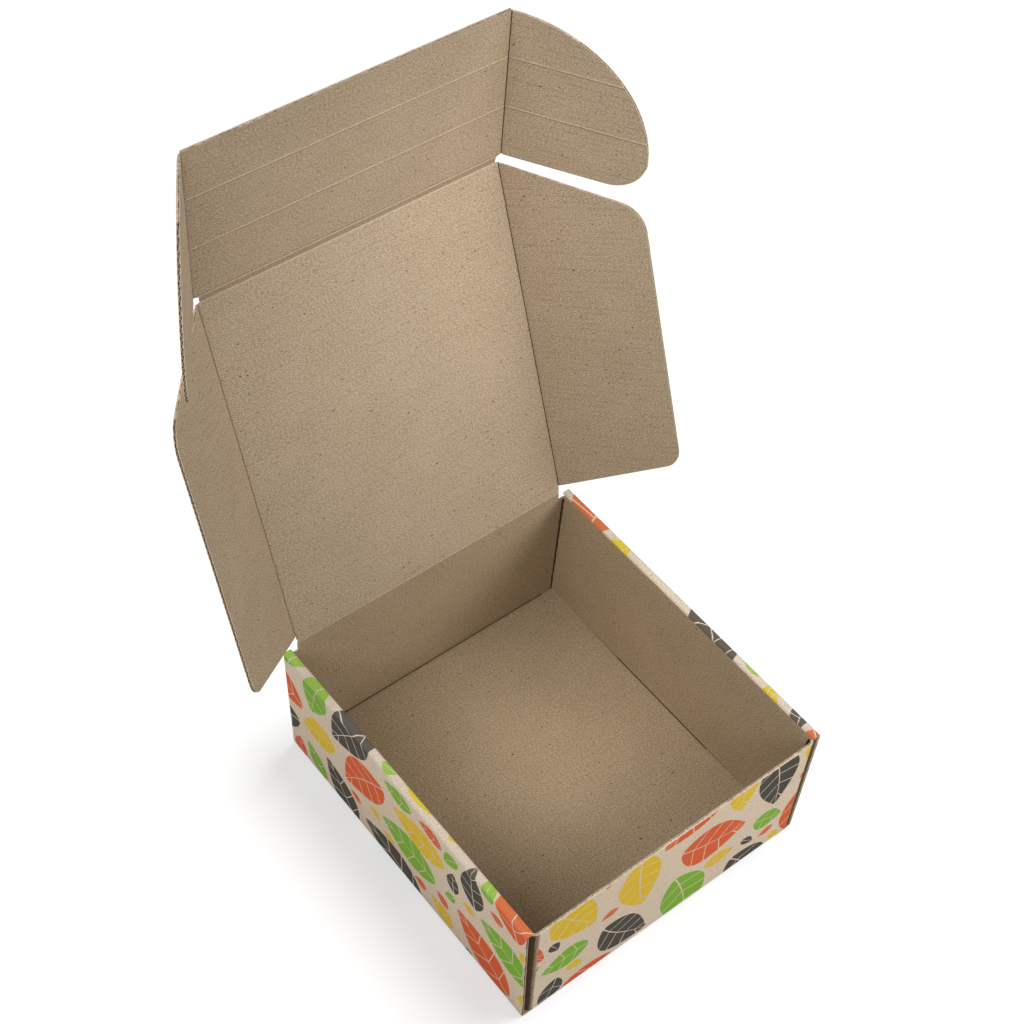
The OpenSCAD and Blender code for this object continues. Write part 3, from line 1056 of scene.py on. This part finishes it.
# Painted shade: a dark line along the middle of each tray bend.
def long_paint(mid):
    d = np.min([np.abs(mid[:, 1] - (g.start + g.end) / 2) for g in bends], axis=0)
    return np.where(d < 0.3, CREASE_SHADE, KRAFT)


long_lines = [v_line(c, -120, 120) for c in long_path.marks(8)]
long_lines += [v_line(g.start - d, -120, 120) for g in bends for d in NEAR]
long_lines += [v_line(g.end + d, -120, 120) for g in bends for d in NEAR]
tray = board("tray_long", "tray", rect(-MID_U, V_F0, MID_U, V_F1), long_place, long_lines,
             inner=long_paint, rough=(V_F0,))
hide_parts("tray")


# Ends of the front and back walls, with the upright bends and the corner flaps
def corner_board(name, side, front, inset, radius, plain, dark):
    """From the wall's flat part round the upright bend, and back between the side wall's layers. The bend's
    outer side is printed up to plain, plain kraft after that, then painted shade, and from dark on darker
    painted shade, as shares of its turn; its inner side round the bend is painted shade. inset and radius
    are given at the foot and at the top."""
    sy = -1 if front else 1
    v_top = V_F0 if front else V_LEVEL
    corner_r = 6
    settle = 36

    def bend(v):
        z = FRONT_H - (v - V_F0) if front else FRONT_H + (v - v_top)
        f = z / SIDE_H
        r = radius[0] + (radius[1] - radius[0]) * f
        out_x = FLAP_X + SIDE_LEAN * f
        tip = out_x - (inset[0] + (inset[1] - inset[0]) * f)
        return z, r, out_x, tip, tip - r, r * math.pi / 2

    # Painted shade inside the bend.
    def inner_paint(mid):
        *_, flat_end, arc = bend(mid[:, 1])
        return np.where(np.abs(mid[:, 0]) > flat_end + (0.4 * arc if front else -0.4), CREASE_SHADE, KRAFT)

    # Painted shade in the gap beside the side wall.
    def outer_paint(mid):
        *_, flat_end, arc = bend(mid[:, 1])
        d = (np.abs(mid[:, 0]) - flat_end) / arc
        shade = np.where(d > (plain + dark) / 2, SHADE, np.where(d > plain, KRAFT, GROUND))
        return np.where(d > dark, CREASE_SHADE, shade)

    def place(u, v, w):
        z, r, out_x, tip, flat_end, arc = bend(v)
        d = np.abs(u) - flat_end
        p = np.zeros((len(u), 2))
        t = np.zeros((len(u), 2))
        m = d <= 0
        p[m] = np.stack([np.abs(u[m]), np.zeros(m.sum())], 1)
        t[m] = (1, 0)
        m = (d > 0) & (d <= arc)
        a = d[m] / r[m]
        p[m] = np.stack([flat_end[m] + r[m] * np.sin(a), r[m] * (1 - np.cos(a))], 1)
        t[m] = np.stack([np.cos(a), np.sin(a)], 1)
        m = d > arc
        run = d[m] - arc[m]
        ease = np.clip(run / settle, 0, 1)
        ease = ease * ease * (3 - 2 * ease)
        p[m] = np.stack([tip[m] + (out_x[m] - tip[m]) * ease, r[m] + run], 1)
        t[m] = (0, 1)
        n = np.stack([-t[:, 1], t[:, 0]], 1)
        q = p + w[:, None] * n
        return np.stack([side * q[:, 0], sy * (WALL_Y - q[:, 1]), z], 1)

    v_foot = V_F0 + FRONT_H - FOOT_Z if front else v_top - (FRONT_H - FOOT_Z)
    lo, hi = min(v_top, v_foot), max(v_top, v_foot)
    u_end = FLAP_X + CORNER_FLAP_L - 2
    ring = rounded([(MID_U, lo, 0), (u_end, lo, corner_r), (u_end, hi, corner_r), (MID_U, hi, 0)], 5)
    us = [MID_U + k * 0.45 for k in range(1, 44)] + [112, 118, 126]
    levels = [lo + (hi - lo) * k / 6 for k in range(1, 6)]
    lines = [u_line(side * u, lo, hi) for u in us] + [v_line(v, side * MID_U, side * u_end) for v in levels]
    board(name, "tray", mirrored(side, ring), place, lines, cuts=sorted(side * u for u in us[::3]),
          inner=inner_paint, outer=outer_paint, rough=(V_F0,) if front else ())


corner_board("corner_front_right", 1, True, inset=(0.2, 0.8), radius=(2.6, 3.4), plain=0.1, dark=0.2)
corner_board("corner_front_left", -1, True, inset=(1.0, 1.4), radius=(3.4, 5.0), plain=0.03, dark=0.3)
corner_board("corner_back_right", 1, False, inset=(0.0, 0.0), radius=(2.8, 3.0), plain=0.3, dark=0.7)
corner_board("corner_back_left", -1, False, inset=(0.0, 0.0), radius=(2.8, 3.0), plain=0.3, dark=0.7)

# Ends of the back wall above the corner bends
rise_corners = [(MID_U, V_LEVEL, 0), (back_half, V_LEVEL, 0), (back_half, V_F1, 1.0), (MID_U, V_F1, 0)]
for side, name in ((1, "back_rise_right"), (-1, "back_rise_left")):
    board(name, "tray", mirrored(side, rounded(rise_corners, 4)), long_place)


# Side walls: bottom edge, outer panel, rolled rim and inner panel
def side_place(side):
    def place(u, v, w):
        s = np.abs(u)
        k = np.ones(len(u))
        for g in side_path.arcs:
            k *= crushed(np.maximum(g.start - s, s - g.end))
        p = side_path.at(s, w * k)
        return np.stack([side * p[:, 0], v, p[:, 1]], 1)
    return place


def side_outline(side):
    half_tab = LOCK_TAB_L / 2
    rows = [u for u in (U_RIM1 + 4 + k * 1.7 for k in range(50)) if u < U_FOOT - 2]
    front = [(u, -INNER_HALF_D + 0.5 + 2.0 * (U_FOOT - u) / SIDE_H + rng.uniform(-0.2, 0.2)) for u in rows]
    back = [(u, INNER_HALF_D - 0.65 + rng.uniform(-0.28, 0.28)) for u in rows[::-1]]
    ring = [(MID_U, -PANEL_HALF_D), (U_RIM1 - 0.2, -PANEL_HALF_D), (U_RIM1 + 0.1, -INNER_HALF_D),
            (U_RIM1 + 3, -INNER_HALF_D + 2.6)] + front
    ring += [(U_FOOT, -INNER_HALF_D + 0.5), (U_FOOT, -half_tab), (side_path.end, -half_tab + 0.8),
             (side_path.end, half_tab - 0.8), (U_FOOT, half_tab), (U_FOOT, INNER_HALF_D - 0.6)] + back
    ring += [(U_RIM1 + 2, INNER_HALF_D - 0.5), (U_RIM1 + 0.1, INNER_HALF_D - 0.4),
             (U_RIM1 - 0.2, PANEL_HALF_D), (MID_U, PANEL_HALF_D)]
    return mirrored(side, ring)


# Where the outer side's paint changes: the print's end, a pale line, and the painted shade at the tab
U_PRINT_END = U_RIM1 - 0.1
U_PALE_LINE = U_FOOT - 0.9
U_TAB_SHADE = U_FOOT - 0.55


def side_paint(mid):
    """Print up to the rim's inner edge, plain board below it, a pale line along the floor in the cut edges'
    colour, and painted shade under the lock tab.
    """
    s = np.abs(mid[:, 0])
    out = np.where(s > U_PRINT_END, KRAFT, GROUND)
    foot = (s > U_PALE_LINE) & (s < U_FOOT + 1)
    # A pale line along the floor, in the cut edges' colour.
    out[foot & (np.abs(mid[:, 1]) > LOCK_TAB_L / 2)] = CUT_EDGE_HIGHLIGHT
    # Painted shade: a dark line where the lock tab meets the floor.
    out[(s > U_TAB_SHADE) & (np.abs(mid[:, 1]) < LOCK_TAB_L / 2)] = CREASE_SHADE
    return out


slot = rect(INNER_X - HALF - 0.25, -LOCK_TAB_L / 2 - 0.3, INNER_X + HALF + 0.25, LOCK_TAB_L / 2 + 0.3)
for side, name in ((1, "side_right"), (-1, "side_left")):
    marks = side_path.marks(6)
    close = [g.start - d for g in side_path.arcs for d in NEAR[:3]]
    close += [g.end + d for g in side_path.arcs for d in NEAR[:3]]
    close = [c for c in close if MID_U + 0.3 < c < side_path.end - 0.3]
    close = [c for c in close if all(abs(c - m) > 0.12 for m in marks)]
    cuts = sorted(side * c for c in marks[::2] + marks[6:7] + marks[13:14])
    ring = side_outline(side)
    hole = mirrored(side, slot)
    lines = [u_line(side * c, -PANEL_HALF_D, PANEL_HALF_D) for c in marks + close]
    place = side_place(side)
    slab(name + "_inner", "tray", ring, place, HALF - LINER, HALF, KRAFT, CORE, lines, [hole])
    painted = (U_PRINT_END, U_PALE_LINE, U_TAB_SHADE)
    lines += [u_line(side * c, -PANEL_HALF_D, PANEL_HALF_D) for c in painted]
    slab(name + "_outer", "tray", ring, place, -HALF, -HALF + LINER, CORE, side_paint, lines, [hole], True)
    medium(name + "_flutes", "tray", ring, place, [hole], cuts, gap=True)


# Floor, light and camera
WHITE = (1, 1, 1, 1)


def seen(k):
    """1 where the camera, a mirror or clear glass looks, and 0 for the light that falls on things."""
    path = k.add("LightPath").outputs
    through = k.plus(path["Is Glossy Ray"], path["Is Transmission Ray"])
    return k.math("MINIMUM", k.plus(path["Is Camera Ray"], through), 1.0)


floor_mesh = bpy.data.meshes.new("floor")
floor_mesh.from_pydata([(-6, -6, 0), (6, -6, 0), (6, 6, 0), (-6, 6, 0)], [], [(0, 1, 2, 3)])
floor = new_object("floor", floor_mesh)
floor.location.z = -0.0004
floor_paint, k = new_material("floor_paper")
diffuse = k.add("BsdfDiffuse", {0: (0.36, 0.36, 0.36, 1)})
glow = k.add("Emission", {0: WHITE, 1: k.times(seen(k), 0.66)})
both = k.add("AddShader", {0: diffuse.outputs[0], 1: glow.outputs[0]})
k.add("OutputMaterial", {0: both.outputs[0]})
floor_mesh.materials.append(floor_paint)

world = bpy.data.worlds.new("studio")
bpy.context.scene.world = world
world.use_nodes = True
k = Nodes(world)
dim, bright = [k.add("Background", {0: WHITE, 1: strength}).outputs[0] for strength in (0.155, 1.0)]
pick = k.add("MixShader", {0: seen(k), 1: dim, 2: bright})
k.add("OutputWorld", {0: pick.outputs[0]})


def lamp(name, kind, at, to, power):
    """A lamp at one point that looks at another, in metres."""
    data = bpy.data.lights.new(name, kind)
    data.energy = power
    ob = new_object(name, data)
    a, b = np.array(at, float), np.array(to, float)
    z = unit(a - b)
    x = unit(np.cross((0, 0, 1.0), z))
    y = np.cross(z, x)
    ob.matrix_world = Matrix([[x[i], y[i], z[i], a[i]] for i in range(3)] + [[0, 0, 0, 1]])
    return ob


def area_light(name, at, to, size, power):
    ob = lamp(name, "AREA", at, to, power)
    ob.data.shape = "SQUARE"
    ob.data.size = size
    return ob


def spot_light(name, at, to, cone, power):
    ob = lamp(name, "SPOT", at, to, power)
    ob.data.spot_size = math.radians(cone)
    ob.data.spot_blend = 1.0
    ob.data.shadow_soft_size = 0.08
    return ob


def group(name, objects):
    """A collection that a lamp's light or shadow is limited to."""
    out = bpy.data.collections.new(name)
    for ob in objects:
        out.objects.link(ob)
    return out


# Lamps for the box alone: soft ones around it, and two that light the lid and the inside
not_floor = group("not_floor", [floor])
not_floor.collection_objects[0].light_linking.link_state = "EXCLUDE"
for ob in (area_light("key", (-1.472, 0.03, 1.785), (0, 0.03, 0.15), 1.2, 20.5),
           area_light("side", (0.55, -0.6, 0.5), (0.02, 0.06, 0.15), 0.45, 4.2),
           area_light("front", (-0.9, -0.9, 1.0), (0.02, 0.06, 0.15), 0.45, 3.5),
           spot_light("lid_spot", (0.35, -0.95, 0.85), (0.07, 0.19, 0.27), 16, 19),
           spot_light("floor_spot", (0.1, -0.1, 1.2), (0.015, 0.005, 0.0), 10.5, 18)):
    ob.light_linking.receiver_collection = not_floor

# A lamp for the box's printed back
outer = [ob for ob in bpy.data.objects if ob.type == "MESH" and ob.name.endswith("outer")]
back_lamp = area_light("back", (0.25, 1.7, 0.8), (0, 0.1, 0.15), 0.8, 9)
back_lamp.light_linking.receiver_collection = group(
    "back_side", [ob for ob in outer if not ob.name.startswith(("side_", "corner_front"))])

# A soft lamp of its own gives the floor the tray's shadow
sun = lamp("floor_sun", "SUN", (0.80, -0.16, 2.0), (0, 0, 0), 3.25)
sun.data.angle = 0.55
sun.light_linking.receiver_collection = group("lit_floor", [floor])
sun.light_linking.blocker_collection = group(
    "tray_shadow", [ob for ob in outer if ob.name.startswith(("tray_", "side_", "corner_"))])

# Camera at the photo's angle
cam_data = bpy.data.cameras.new("camera")
cam = new_object("camera", cam_data)
cam_data.sensor_width = 36
cam_data.sensor_fit = "HORIZONTAL"
cam_data.lens = 67.98228
cam_data.clip_start = 0.01
right = (0.78562172, -0.61681589, 0.04833918)
up = (0.45062344, 0.62397964, 0.63842613)
back = (-0.42395405, -0.47977866, 0.76816365)
at = (-0.423142, -0.435941, 0.974699)
cam.matrix_world = Matrix([[right[i], up[i], back[i], at[i]] for i in range(3)] + [[0, 0, 0, 1]])
bpy.context.scene.camera = cam
bpy.context.scene.view_settings.view_transform = "Standard"
